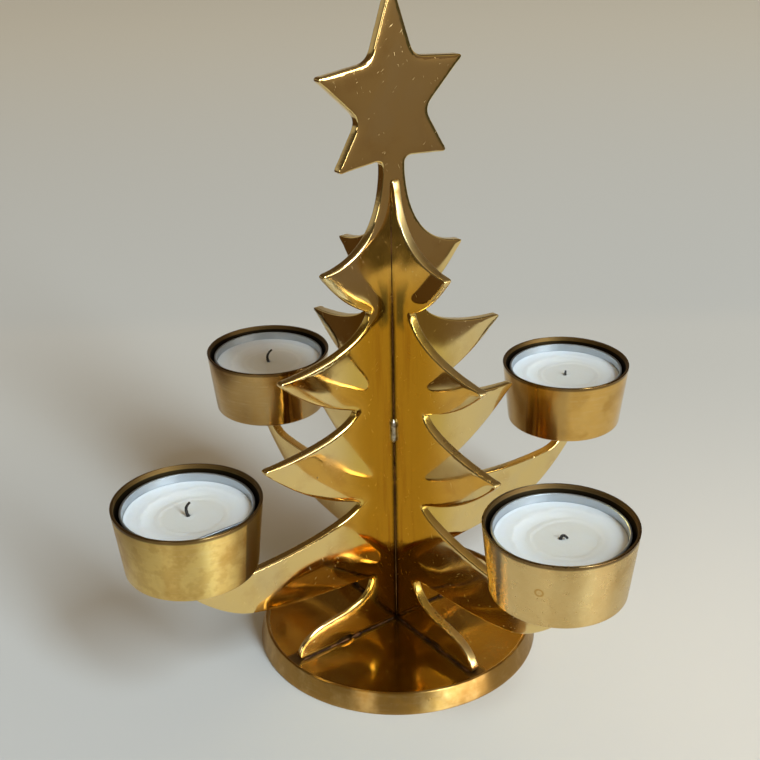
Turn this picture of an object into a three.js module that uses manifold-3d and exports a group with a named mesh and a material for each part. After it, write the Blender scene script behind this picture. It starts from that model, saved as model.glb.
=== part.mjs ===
// Brass tealight tree for the four Sundays of advent: two tree-shaped plates halved into a cross,
// standing in a round dish, with a star on top and a cup with a tealight on each of the four arms.
// Millimetres, +Z up, origin in the middle of the dish's underside.
// The star plate lies along X and the cross plate along Y.

import * as THREE from 'three';
import { mergeVertices } from 'three/addons/utils/BufferGeometryUtils.js';
import Module from 'manifold-3d';

const wasm = await Module();
wasm.setup();

// Plates
const plateThickness = 3.2;
const edgeChamfer = 0.5;
const seatGap = 0.3; // between a piece and what it stands on
const slotClearance = 0.2; // each side of a plate in the other plate's slot
const slotHeight = 76; // where the two slots meet
const crossTopDrop = 2; // the cross plate ends this far below the star plate's shoulders
const crossTopWall = 0.9; // left of the cross plate each side of its slot, at its top

// Tree outline: distances out from the axis, heights up from the plates' bottom edge
const trunkHeight = 154; // the star plate's shoulders, under the neck
const tipBlunt = 0.9;
const notchBlunt = 0.8;
const topBranchReach = 26;
const topTipHeight = 127.8;
const topNotchOut = 9.8;
const topNotchDrop = 14.8; // each notch lies this far below its branch's tip
const middleBranchReach = 42.2;
const middleTipHeight = 98.5;
const middleNotchOut = 15.8;
const middleNotchDrop = 16.5;
const lowBranchReach = 49.2;
const lowTipHeight = 71.9;
const lowNotchOut = 14.8;
const lowNotchDrop = 22.7;
const armWaistInset = 8.7; // from the cup's axis to where the arm is lowest before it turns up
const armWaistHeight = 40.4;
const armBellyInset = 19.7;
const armBellyHeight = 24.6;
const armEndLift = 10; // from the waist up to the flat end that the cup stands on
const armEndInside = 1; // the flat end starts this far inside the cup's axis
const armEndWidth = 10.2;
const armNotchOut = 11.2; // the notch between the arm and the foot
const armNotchHeight = 19;
const footReach = 40.5;
const footShoulderOut = 25;
const footShoulderHeight = 9.6;
const footReliefOut = 19.5; // a small arch filed in each foot's bottom edge
const footReliefWidth = 7;
const footReliefHeight = 1.2;

// How each edge bends: the two control points of its curve, as shares of its way across and up.
const branchTopBend = (sweep) => [[0.05, 0.52], [sweep, 0.92]];
const branchBellyBend = [[0.3, 0.46], [0.58, 0.78]];
const armTopBend = [[0.05, 0.5], [0.5, 1.17]];
const armEndBend = [[0.7, 0.06], [1, 0.26]];
const keelOuterBend = [[0.14, 0.37], [0.65, 0.92]];
const keelInnerBend = [[0.34, 0.78], [0.75, 0.75]];
const footTopBend = [[0.06, 0.62], [0.42, 0.92]];
const toeBend = [[0.55, 0.1], [0.92, 0.37]];
const reliefBend = [[0.3, 1], [0.6, 1]];

// The three branches of a wing, from the top down; the sweep sets how far out each top edge sags.
const branches = [
  {
    reach: topBranchReach,
    tipHeight: topTipHeight,
    notchOut: topNotchOut,
    notchDrop: topNotchDrop,
    sweep: 0.3,
  },
  {
    reach: middleBranchReach,
    tipHeight: middleTipHeight,
    notchOut: middleNotchOut,
    notchDrop: middleNotchDrop,
    sweep: 0.42,
  },
  {
    reach: lowBranchReach,
    tipHeight: lowTipHeight,
    notchOut: lowNotchOut,
    notchDrop: lowNotchDrop,
    sweep: 0.48,
  },
];

// Star, cut in one with its plate: rays and the waists between them, turned from straight up
const starNeckHalf = 4;
const starNeckLength = 2.8; // from the shoulders up to the tips of the lowest rays
const starCrotch = 1.4; // the lowest rays' under edges meet the neck this far above their tips
const starTipBlunt = 1.7;
const starTopRayLength = 30.5;
const starSideRayLength = 27.4;
const starLowRayLength = 26.9;
const starHighWaistRadius = 13.8;
const starLowWaistRadius = 12.4;
const starRays = [
  { turn: 0, length: starTopRayLength },
  { turn: 70, length: starSideRayLength },
  { turn: 132.5, length: starLowRayLength },
];
const starWaists = [
  { turn: 33.5, length: starHighWaistRadius },
  { turn: 110, length: starLowWaistRadius },
];

// Dish
const toeGap = 3.2; // from the feet's toes to the inside of the dish's rim
const dishRimWidth = 0.9;
const dishFlare = 1.8; // the dish's foot stands out past its rim
const dishFloor = 5.2;
const dishLip = 1.8;
const dishEdge = 0.6;
const dishRimEase = 0.25;

// Tealights
const canHeight = 18;
const canRimRadius = 19.4;
const canBottomRadius = 17.8;
const canLip = 0.5; // the rim stands out past the can's wall
const canSheet = 0.35;
const canBead = 0.45;
const canCorner = 0.5;
const waxGap = 0.3; // between the wax and the can
const waxDrop = 2.8; // wax below the can's rim
const waxPoolDepth = 0.6;
const waxPoolRadius = 11;
const waxPoolSlope = 2.2;
const wickRadius = 0.55;
const wickGap = 0.25; // between the wick and the wax
const wickBend = 0.35; // share of its lean that the wick has at three quarters of its rise
const tabRadius = 6;
const tabSheet = 0.4;
const tabCollarHeight = 3;
const tabCollarWall = 0.4;
const tabBoreGap = 0.15;

// How each wick stands out of the wax: its rise, how far it leans and how far its end curls down.
const wicks = {
  front_left: { rise: 4.6, lean: 1, curl: 0 },
  front_right: { rise: 1.6, lean: 2.4, curl: 0.9 },
  back_right: { rise: 1.3, lean: 0.2, curl: 0 },
  back_left: { rise: 3.8, lean: 1.3, curl: 0 },
};

// Cups, sized round the tealights
const cupWall = 0.9;
const cupBottomThickness = 1.2;
const cupRimGap = 1.45; // between the can's rim and the cup's rim
const cupBottomGap = 0.7;
const cupRimRise = 1.7; // the cup's rim above the can's
const cupEdge = 0.8;
const cupRimEase = 0.2;
const cupBranchGap = 3.75; // between the cup's rim and the tip of the lowest branch
const solderSpread = 1.6; // collar of solder round each arm end, under the cup
const solderHeight = 1.1;
const solderGap = 0.2;

// The arms: the direction in which each one points, in quarter turns from +X.
const arms = { front_left: 2, front_right: 3, back_right: 0, back_left: 1 };

const curveSteps = 7;
const dishSides = 56;
const cupSides = 32;
const canSides = 30;
const tabSides = 12;
const wickSides = 10;
const wickSteps = 10;

// Worked out from the sizes above
const crossTopHeight = trunkHeight - crossTopDrop;
const crossTopHalf = plateThickness / 2 + slotClearance + crossTopWall;
const canTopRadius = canRimRadius - canLip;
const waxTop = canHeight - waxDrop;
const tabBottom = canSheet + seatGap;
const collarRadius = wickRadius + wickGap + tabCollarWall;
const cupRimRadius = canRimRadius + cupRimGap + cupWall;
const cupBottomRadius = canBottomRadius + cupBottomGap + cupWall;
const cupHeight = cupBottomThickness + seatGap + canHeight + cupRimRise;
const cupOut = lowBranchReach + cupBranchGap + cupRimRadius; // from the tree's axis to the cup's
const armEndInner = cupOut - armEndInside;
const armEndOuter = armEndInner + armEndWidth;
const armEndHeight = armWaistHeight + armEndLift;
const plateStand = dishFloor + seatGap;

const brass = { color: 0xb5904a, roughness: 0.22, metalness: 1 };
const satinBrass = { color: 0xb99a5e, roughness: 0.35, metalness: 1 };
const solder = { color: 0xc9c4b4, roughness: 0.4, metalness: 1 };
const aluminium = { color: 0xc8cbce, roughness: 0.3, metalness: 1 };
const paraffin = { color: 0xe6e4dc, roughness: 0.45, metalness: 0 };
const burntCotton = { color: 0x2a2622, roughness: 0.9, metalness: 0 };

// A closed shape as a solid that can be cut.
function toSolid(geometry) {
  const bare = geometry.clone();
  bare.deleteAttribute('normal');
  bare.deleteAttribute('uv');
  const merged = mergeVertices(bare, 1e-4);
  return new wasm.Manifold(new wasm.Mesh({
    numProp: 3,
    vertProperties: new Float32Array(merged.attributes.position.array),
    triVerts: new Uint32Array(merged.index.array),
  }));
}

function toGeometry(solid) {
  const mesh = solid.getMesh();
  const geometry = new THREE.BufferGeometry();
  geometry.setAttribute('position', new THREE.BufferAttribute(mesh.vertProperties, 3));
  geometry.setIndex(new THREE.BufferAttribute(mesh.triVerts, 1));
  geometry.computeVertexNormals();
  return geometry;
}

function makeMesh(name, geometry, look) {
  const mesh = new THREE.Mesh(geometry, new THREE.MeshStandardMaterial(look));
  mesh.name = name;
  return mesh;
}

// Points of an outline or profile; a corner with a third number is eased by that much on each side.
function easeCorners(corners) {
  return corners.flatMap(([x, y, size], index) => {
    const corner = new THREE.Vector2(x, y);
    if (!size) return [corner];
    const toward = ([otherX, otherY]) => (
      new THREE.Vector2(otherX, otherY).sub(corner).setLength(size).add(corner)
    );
    const before = toward(corners[index - 1]);
    const after = toward(corners[index + 1]);
    const middle = before.clone().add(after).multiplyScalar(0.5).add(corner).multiplyScalar(0.5);
    return [before, middle, after];
  });
}

// Turns a profile of [radius, height] corners round the Z axis.
function revolve(corners, sides) {
  return new THREE.LatheGeometry(easeCorners(corners), sides).rotateX(Math.PI / 2);
}

// Draws a curve to a point, bent by two control points given as shares of the way there.
function bendTo(path, x, y, [first, second]) {
  const start = path.currentPoint.clone();
  const at = ([across, up]) => [start.x + (x - start.x) * across, start.y + (y - start.y) * up];
  path.bezierCurveTo(...at(first), ...at(second), x, y);
}

// Draws the end of a curve into a notch and the first bit out of it, downwards.
function addNotch(path, out, height, bend) {
  bendTo(path, out + notchBlunt, height + notchBlunt / 3, bend);
  path.lineTo(out, height);
  path.lineTo(out, height - notchBlunt);
}

// One branch: its top edge sweeps down and out to a blunt tip, and its belly swells back to the notch.
function addBranch(path, { reach, tipHeight, sweep, notchOut, notchDrop }) {
  bendTo(path, reach - tipBlunt, tipHeight + tipBlunt / 2, branchTopBend(sweep));
  path.lineTo(reach, tipHeight);
  path.lineTo(reach - tipBlunt / 2, tipHeight - tipBlunt);
  addNotch(path, notchOut, tipHeight - notchDrop, branchBellyBend);
}

// The arm under the branches: it sweeps out, turns up to a flat end and comes back along its keel.
function addArm(path) {
  bendTo(path, cupOut - armWaistInset, armWaistHeight, armTopBend);
  bendTo(path, armEndInner, armEndHeight, armEndBend);
  path.lineTo(armEndOuter, armEndHeight);
  bendTo(path, cupOut - armBellyInset, armBellyHeight, keelOuterBend);
  addNotch(path, armNotchOut, armNotchHeight, keelInnerBend);
}

// The foot flares out to a low toe; its bottom edge is flat but for a small filed arch.
function addFoot(path) {
  bendTo(path, footShoulderOut, footShoulderHeight, footTopBend);
  bendTo(path, footReach, tipBlunt, toeBend);
  path.lineTo(footReach - tipBlunt / 2, 0);
  path.lineTo(footReliefOut + footReliefWidth, 0);
  bendTo(path, footReliefOut + footReliefWidth / 4, footReliefHeight, reliefBend);
  path.lineTo(footReliefOut, 0);
}

// Half of the star, from its top ray down to the shoulders.
function addHalfStar(path) {
  const toXY = ({ turn, length }, centreHeight) => {
    const angle = THREE.MathUtils.degToRad(turn);
    return [Math.sin(angle) * length, centreHeight + Math.cos(angle) * length];
  };
  const lowestTip = trunkHeight + starNeckLength;
  const centreHeight = lowestTip - toXY(starRays.at(-1), 0)[1];
  const [top, side, low] = starRays.map((ray) => toXY(ray, centreHeight));
  const [highWaist, lowWaist] = starWaists.map((waist) => toXY(waist, centreHeight));
  const corners = easeCorners([
    [starTipBlunt / 2, top[1]],
    [...highWaist, notchBlunt],
    [...side, starTipBlunt],
    [...lowWaist, notchBlunt],
    [...low, starTipBlunt],
    [starNeckHalf + notchBlunt, lowestTip + starCrotch, notchBlunt],
    [starNeckHalf, lowestTip],
    [starNeckHalf, trunkHeight],
  ]);
  path.moveTo(corners[0].x, corners[0].y);
  corners.slice(1).forEach((corner) => path.lineTo(corner.x, corner.y));
}

// A whole plate, from the right half of its outline, standing in the XZ plane.
function makePlate(startHalf) {
  const path = new THREE.Path();
  startHalf(path);
  branches.forEach((branch) => addBranch(path, branch));
  addArm(path);
  addFoot(path);
  const right = path.getPoints(curveSteps);
  const left = right.map((point) => new THREE.Vector2(-point.x, point.y)).reverse();
  const geometry = new THREE.ExtrudeGeometry(new THREE.Shape([...right, ...left]), {
    depth: plateThickness - 2 * edgeChamfer,
    bevelEnabled: true,
    bevelThickness: edgeChamfer,
    bevelSize: edgeChamfer,
    bevelOffset: -edgeChamfer,
    bevelSegments: 1,
  });
  return geometry.translate(0, 0, edgeChamfer - plateThickness / 2).rotateX(Math.PI / 2);
}

// Cuts the slot that straddles the other plate, between two heights.
function cutSlot(plate, low, high) {
  const width = plateThickness + 2 * slotClearance;
  const slot = new THREE.BoxGeometry(width, plateThickness * 2, high - low);
  slot.translate(0, 0, (low + high) / 2);
  return toGeometry(toSolid(plate).subtract(toSolid(slot)));
}

function makeStarPlate() {
  const plate = cutSlot(makePlate(addHalfStar), -seatGap, slotHeight + seatGap / 2);
  const mesh = makeMesh('star_plate', plate, brass);
  mesh.position.z = plateStand;
  return mesh;
}

function makeCrossPlate() {
  const startTop = (path) => path.moveTo(crossTopHalf, crossTopHeight);
  const plate = cutSlot(makePlate(startTop), slotHeight - seatGap / 2, crossTopHeight + seatGap);
  const mesh = makeMesh('cross_plate', plate, brass);
  mesh.position.z = plateStand;
  mesh.rotation.z = Math.PI / 2;
  return mesh;
}

// A thick disc, turned hollow on top, that leaves a thin rim and flares a little to its foot.
function makeDish() {
  const inner = footReach + toeGap;
  const rim = inner + dishRimWidth;
  const height = dishFloor + dishLip;
  const profile = [
    [0, 0],
    [rim + dishFlare, 0, dishEdge],
    [rim, height, dishRimEase],
    [inner, height, dishRimEase],
    [inner - dishRimEase, dishFloor],
    [0, dishFloor],
  ];
  return makeMesh('base_dish', revolve(profile, dishSides), brass);
}

// A tapered cup with a rounded bottom edge and a flat, eased rim.
function makeCup(place) {
  const taper = (cupRimRadius - cupBottomRadius) / cupHeight;
  const profile = [
    [0, 0],
    [cupBottomRadius, 0, cupEdge],
    [cupRimRadius, cupHeight, cupRimEase],
    [cupRimRadius - cupWall, cupHeight, cupRimEase],
    [cupBottomRadius + taper * cupBottomThickness - cupWall, cupBottomThickness],
    [0, cupBottomThickness],
  ];
  return makeMesh(`cup_${place}`, revolve(profile, cupSides), satinBrass);
}

// A collar of solder with round ends, fitted round the arm's flat end close under the cup.
function makeSolder(place) {
  const halfWidth = plateThickness / 2 + solderGap;
  const halfLength = armEndWidth / 2 + solderGap;
  const endRadius = halfWidth + solderSpread;
  const straight = halfLength + solderSpread - endRadius;
  const collar = new THREE.Shape();
  collar.moveTo(-straight, -endRadius);
  collar.lineTo(straight, -endRadius);
  collar.absarc(straight, 0, endRadius, -Math.PI / 2, Math.PI / 2, false);
  collar.lineTo(-straight, endRadius);
  collar.absarc(-straight, 0, endRadius, Math.PI / 2, Math.PI * 1.5, false);
  const hole = new THREE.Path([
    new THREE.Vector2(-halfLength, -halfWidth),
    new THREE.Vector2(-halfLength, halfWidth),
    new THREE.Vector2(halfLength, halfWidth),
    new THREE.Vector2(halfLength, -halfWidth),
  ]);
  collar.holes.push(hole);
  const geometry = new THREE.ExtrudeGeometry(collar, {
    depth: solderHeight,
    bevelEnabled: false,
    curveSegments: 4,
  });
  geometry.translate(armEndWidth / 2 - armEndInside, 0, -seatGap - solderHeight);
  return makeMesh(`cup_solder_${place}`, geometry, solder);
}

// The can's inside radius at a height above its own bottom.
function canInside(height) {
  return canBottomRadius + (canTopRadius - canBottomRadius) * (height / canHeight) - canSheet;
}

// A drawn foil can with a beaded rim.
function makeCan(place) {
  const underBead = canHeight - 2 * canBead;
  const profile = [
    [0, 0],
    [canBottomRadius, 0, canCorner],
    [canTopRadius, underBead],
    [canRimRadius, underBead + canBead / 2],
    [canRimRadius, canHeight - canBead / 2],
    [canRimRadius - canBead / 2, canHeight],
    [canInside(canHeight) + canBead / 3, canHeight],
    [canInside(underBead), underBead],
    [canInside(canSheet), canSheet],
    [0, canSheet],
  ];
  return makeMesh(`tealight_can_${place}`, revolve(profile, canSides), aluminium);
}

// Wax with a shallow melted pool, bored for the wick and hollowed below for the wick's tab.
function makeWax(place) {
  const bottom = canSheet + seatGap;
  const bore = wickRadius + wickGap;
  const collarTop = tabBottom + tabCollarHeight + seatGap;
  const tabTop = tabBottom + tabSheet + seatGap;
  const poolHeight = waxTop - waxPoolDepth;
  const profile = [
    [tabRadius + seatGap, bottom],
    [canInside(bottom) - waxGap, bottom],
    [canInside(waxTop) - waxGap, waxTop],
    [waxPoolRadius, waxTop],
    [waxPoolRadius - waxPoolSlope, poolHeight],
    [bore, poolHeight],
    [bore, collarTop],
    [collarRadius + seatGap, collarTop],
    [collarRadius + seatGap, tabTop],
    [tabRadius + seatGap, tabTop],
    [tabRadius + seatGap, bottom],
  ];
  return makeMesh(`tealight_wax_${place}`, revolve(profile, canSides), paraffin);
}

// The tab that holds the wick: a thin round plate with a crimped collar.
function makeTab(place) {
  const bore = wickRadius + tabBoreGap;
  const profile = [
    [bore, tabBottom],
    [tabRadius, tabBottom],
    [tabRadius, tabBottom + tabSheet],
    [collarRadius, tabBottom + tabSheet],
    [collarRadius, tabBottom + tabCollarHeight],
    [bore, tabBottom + tabCollarHeight],
    [bore, tabBottom],
  ];
  return makeMesh(`wick_tab_${place}`, revolve(profile, tabSides), aluminium);
}

// The wick stands straight through the wax and bends above it.
function makeWick(place) {
  const { rise, lean, curl } = wicks[place];
  const surface = waxTop - waxPoolDepth;
  const path = new THREE.CatmullRomCurve3([
    new THREE.Vector3(0, 0, tabBottom),
    new THREE.Vector3(0, 0, surface / 2),
    new THREE.Vector3(0, 0, surface),
    new THREE.Vector3(lean * wickBend, 0, surface + rise * 0.75),
    new THREE.Vector3(lean, 0, surface + rise - curl),
  ]);
  const round = new THREE.Shape();
  round.absarc(0, 0, wickRadius, 0, Math.PI * 2, false);
  const geometry = new THREE.ExtrudeGeometry(round, {
    steps: wickSteps,
    curveSegments: wickSides / 2,
    extrudePath: path,
  });
  return makeMesh(`tealight_wick_${place}`, geometry, burntCotton);
}

// Everything on one arm, in a group that is turned to the arm's direction.
function makeArmSet(place) {
  const tealight = new THREE.Group();
  tealight.position.z = cupBottomThickness + seatGap;
  tealight.add(makeCan(place), makeWax(place), makeTab(place), makeWick(place));
  const cup = new THREE.Group();
  cup.position.set(cupOut, 0, plateStand + armEndHeight + seatGap);
  cup.add(makeCup(place), makeSolder(place), tealight);
  const arm = new THREE.Group();
  arm.rotation.z = arms[place] * Math.PI / 2;
  arm.add(cup);
  return arm;
}

const tree = new THREE.Group();
tree.add(makeDish(), makeStarPlate(), makeCrossPlate());
Object.keys(arms).forEach((place) => tree.add(makeArmSet(place)));

export default tree;
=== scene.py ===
import math

import bmesh
import bpy
import numpy as np
from mathutils import Matrix, Vector
from mathutils.geometry import delaunay_2d_cdt


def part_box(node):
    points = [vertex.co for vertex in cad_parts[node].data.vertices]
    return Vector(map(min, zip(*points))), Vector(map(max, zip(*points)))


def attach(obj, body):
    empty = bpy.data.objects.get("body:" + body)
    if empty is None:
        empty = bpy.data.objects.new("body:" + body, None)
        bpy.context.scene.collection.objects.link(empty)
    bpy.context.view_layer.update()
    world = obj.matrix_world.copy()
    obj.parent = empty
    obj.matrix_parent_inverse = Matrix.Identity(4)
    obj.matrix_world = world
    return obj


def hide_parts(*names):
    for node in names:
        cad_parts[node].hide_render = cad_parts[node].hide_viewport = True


# Brass tealight tree: polished plates, turned cups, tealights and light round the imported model.
# Pieces are sized in millimetres and degrees. Finishes, studio and lights are in metres, as Blender
# is, and everything stands in the model's frame.

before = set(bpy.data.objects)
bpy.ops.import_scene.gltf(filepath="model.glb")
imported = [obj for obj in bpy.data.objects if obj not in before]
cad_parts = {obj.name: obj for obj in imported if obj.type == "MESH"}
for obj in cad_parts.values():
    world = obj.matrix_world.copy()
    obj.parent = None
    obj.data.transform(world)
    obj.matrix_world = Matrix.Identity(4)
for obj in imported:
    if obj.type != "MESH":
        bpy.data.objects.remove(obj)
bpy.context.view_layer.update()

scene = bpy.context.scene
scene.view_settings.view_transform = "Standard"

mm = 0.001
arms = {"front_left": 180, "front_right": 270, "back_right": 0, "back_left": 90}  # degrees from +X


def boxOf(node):  # lowest and highest corner of a node, in millimetres
    low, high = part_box(node)
    return np.array(low) / mm, np.array(high) / mm


# Camera, at the photograph's angle

view = {
    "turn": -36.413,
    "tilt": 25.635,
    "roll": -1.11,
    "distance": 398.0,
    "aimSide": -4.428,
    "aimHeight": 92.989,
    "lens": 60.72,
}


def directions(turn, tilt):
    a, e = math.radians(turn), math.radians(tilt)
    back = Vector((math.sin(a) * math.cos(e), -math.cos(a) * math.cos(e), math.sin(e)))
    right = Vector((math.cos(a), math.sin(a), 0))
    return back, right, back.cross(right)


def makeCamera():
    back, right, up = directions(view["turn"], view["tilt"])
    c, s = math.cos(math.radians(view["roll"])), math.sin(math.radians(view["roll"]))
    side, rise = c * right + s * up, c * up - s * right
    aim = Vector((0, 0, view["aimHeight"] * mm)) + right * view["aimSide"] * mm
    data = bpy.data.cameras.new("camera")
    data.lens = view["lens"]
    camera = bpy.data.objects.new("camera", data)
    scene.collection.objects.link(camera)
    camera.rotation_mode = "QUATERNION"
    axes = Matrix([[side[i], rise[i], back[i]] for i in range(3)])
    camera.rotation_quaternion = axes.to_quaternion()
    camera.location = aim + back * view["distance"] * mm
    scene.camera = camera


# Node graphs written as expressions


class Wire:  # a value in a node tree
    def __init__(self, graph, socket):
        self.graph, self.socket = graph, socket

    def math(self, operation, *values):
        inputs = dict(enumerate(values))
        return self.graph.add("ShaderNodeMath", {"operation": operation}, inputs)

    def __add__(self, other):
        return self.math("ADD", self, other)

    def __sub__(self, other):
        return self.math("SUBTRACT", self, other)

    def __rsub__(self, other):
        return self.math("SUBTRACT", other, self)

    def __mul__(self, other):
        return self.math("MULTIPLY", self, other)

    def __truediv__(self, other):
        return self.math("DIVIDE", self, other)

    def __pow__(self, other):
        return self.math("POWER", self, other)

    def __abs__(self):
        return self.math("ABSOLUTE", self)

    __radd__ = __add__
    __rmul__ = __mul__

    def ramp(self, low, high):  # 0 below low, 1 above high, smooth between
        settings = {"interpolation_type": "SMOOTHSTEP"}
        inputs = {"Value": self, "From Min": low, "From Max": high}
        return self.graph.add("ShaderNodeMapRange", settings, inputs)


class Graph:  # adds nodes to one tree
    def __init__(self, tree):
        self.tree = tree
        tree.nodes.clear()

    def add(self, kind, settings=None, inputs=None, output=0):
        node = self.tree.nodes.new(kind)
        for key, value in (settings or {}).items():
            setattr(node, key, value)
        for key, value in (inputs or {}).items():
            if isinstance(value, Wire):
                self.tree.links.new(value.socket, node.inputs[key])
            else:
                node.inputs[key].default_value = value
        return Wire(self, node.outputs[output]) if node.outputs else node

    def mix(self, factor, first, second):  # colours
        settings = {"data_type": "RGBA"}
        return self.add("ShaderNodeMix", settings, {0: factor, 6: first, 7: second}, 2)

    def noise(self, place, scale, detail=2.0, roughness=0.5, distortion=0.0):
        inputs = {"Vector": place, "Scale": scale, "Detail": detail, "Roughness": roughness}
        return self.add("ShaderNodeTexNoise", {}, {**inputs, "Distortion": distortion})

    def place(self, scale=(1, 1, 1), centre=(0, 0, 0), turn=(0, 0, 0)):
        coordinates = self.add("ShaderNodeTexCoord", output="Object")
        inputs = {"Vector": coordinates, "Location": centre, "Rotation": turn}
        stretch = {"Scale": [1 / s for s in scale]}  # a texture mapping turns first and then divides
        return self.add("ShaderNodeMapping", {"vector_type": "TEXTURE"}, {**inputs, **stretch})

    def split(self, vector):
        return [self.add("ShaderNodeSeparateXYZ", {}, {0: vector}, axis) for axis in "XYZ"]

    def surface(self, values):
        shader = self.add("ShaderNodeBsdfPrincipled", {}, values)
        self.add("ShaderNodeOutputMaterial", {}, {"Surface": shader})


def newMaterial(name):
    material = bpy.data.materials.new(name)
    material.use_nodes = True
    return material, Graph(material.node_tree)


# Finishes

brass = {
    "colour": (0.86, 0.63, 0.26, 1),
    "tarnish": (0.66, 0.43, 0.16, 1),
    "amber": (0.71, 0.475, 0.105, 1),  # the trunk, warmed by the torch
    "stain": (0.56, 0.30, 0.06, 1),
    "grime": (0.07, 0.04, 0.02, 1),
    "shade": (0.20, 0.17, 0.08, 1),  # painted dark reflection beside the seam, where the plates' corner mirrors dark things
    "pale": (0.95, 0.80, 0.50, 1),  # bright scratches
    "film": (0.72, 0.58, 0.34, 1),
    "paintedInsideShade": (0.012, 0.008, 0.005, 1),  # painted shade inside the cups, for the dark gap round the can
    "brown": (0.19, 0.11, 0.04, 1),  # the cups' rims
    "darkTreeReflection": (0.19, 0.14, 0.08, 1),  # painted reflection of the dark tree, on the cups' sides that face it
}
heatTintAndPaintedReflection = {  # where the trunk changed colour, and where a dark reflection is painted beside the seam, metres
    "belowStar": (0.112, 0.134),
    "amberOut": (0.014, 0.028),
    "streakOut": (0.004, 0.016),
    "crustOut": (0.0020, 0.0038),
    "lowest": (0.010, 0.040),
    # the shade entries place a painted dark reflection beside the seam, not heat colour
    "shadeOut": (0.0030, 0.0045),
    "shadeReach": (0.0065, 0.0080),
    "shadeFrom": (0.111, 0.114),
    "shadeTo": (0.121, 0.127),
}


def lines(g, centre, turn, scale, length):  # fine marks that run one way
    spot = g.place((1, 1, 1 / length), centre, turn)
    return g.noise(spot, scale, 2.0, 0.5)


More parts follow.
